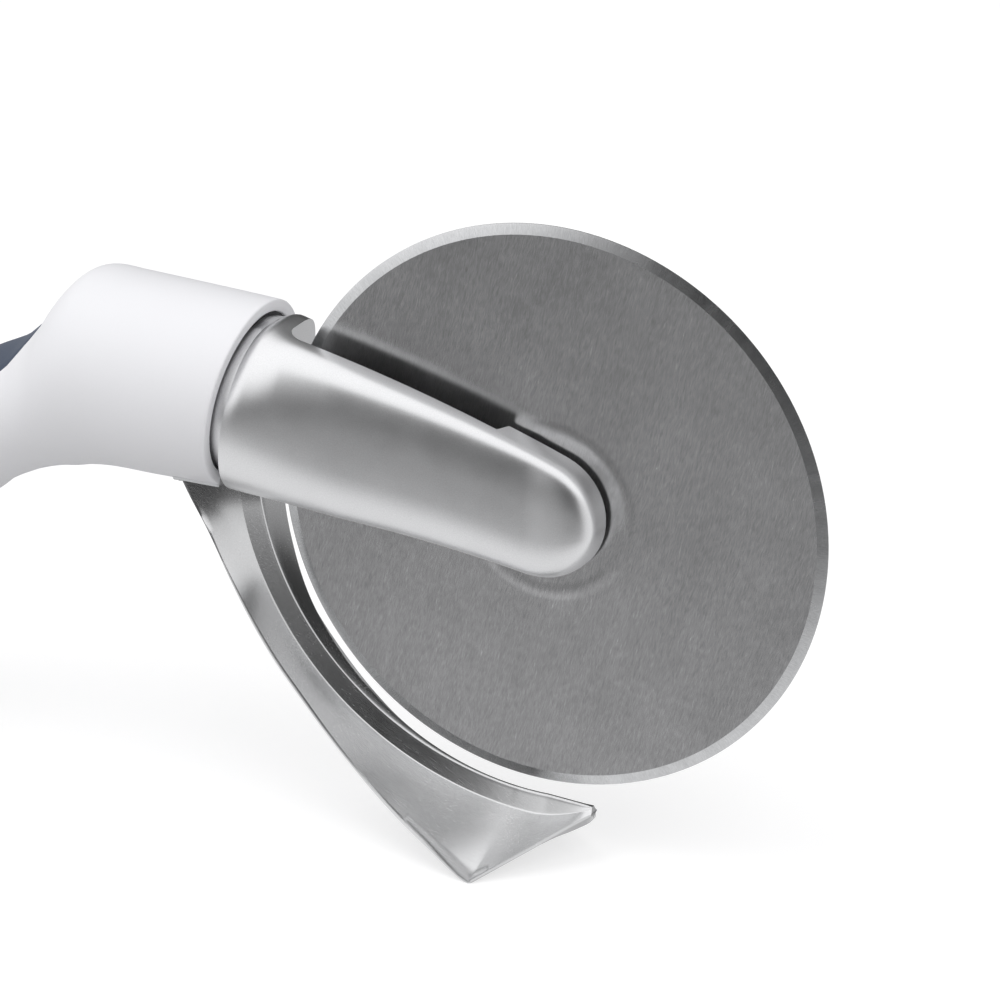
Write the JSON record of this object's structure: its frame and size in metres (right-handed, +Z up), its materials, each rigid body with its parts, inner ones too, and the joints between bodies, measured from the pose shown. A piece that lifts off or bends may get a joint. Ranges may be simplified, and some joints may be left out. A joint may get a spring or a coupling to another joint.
{
  "type": "pizza cutter wheel",
  "caption": "Round steel cutting wheel on a one-sided cast arm, with a curved guard foot below it and an overmoulded handle.",
  "frame": {"origin": "middle of the part's box at table height, where the corners of the guard foot and the butt of the handle rest", "axes": "+X along the tool towards the blade, +Y away from the side the arm is on, +Z up"},
  "size_m": [0.2596, 0.035, 0.1141],
  "materials": {
    "blade_steel": "brushed stainless steel",
    "hub_acetal": "moulded acetal",
    "axle_steel": "ground steel",
    "washer_plastic": "natural acetal",
    "screw_steel": "polished stainless steel",
    "arm_zinc": "satin, bead-blasted zinc casting",
    "seal_rubber": "soft matt",
    "foot_steel": "satin polished",
    "gasket_plastic": "soft moulded",
    "fixing_steel": "plain",
    "core_nylon": "moulded nylon",
    "shell_white": "semi-gloss white",
    "pad_navy": "soft-touch navy"
  },
  "bodies": {
    "handle": {"axle_sleeve": "axle_steel", "near_washer": "washer_plastic", "far_washer": "washer_plastic", "axle_screw": "screw_steel", "arm": "arm_zinc", "arm_seal": "seal_rubber", "guard_foot": "foot_steel", "foot_gasket": "gasket_plastic", "foot_screws": "fixing_steel", "handle_core": "core_nylon", "handle_shell": "shell_white", "grip_pad": "pad_navy"},
    "wheel": {"blade_disc": "blade_steel", "blade_hub": "hub_acetal"}
  },
  "joints": [
    {"name": "blade_spin", "type": "hinge", "parent": "handle", "child": "wheel", "pos_m": [0.0798, 0, 0.0641], "axis": [0, 1, 0], "continuous": true}
  ]
}
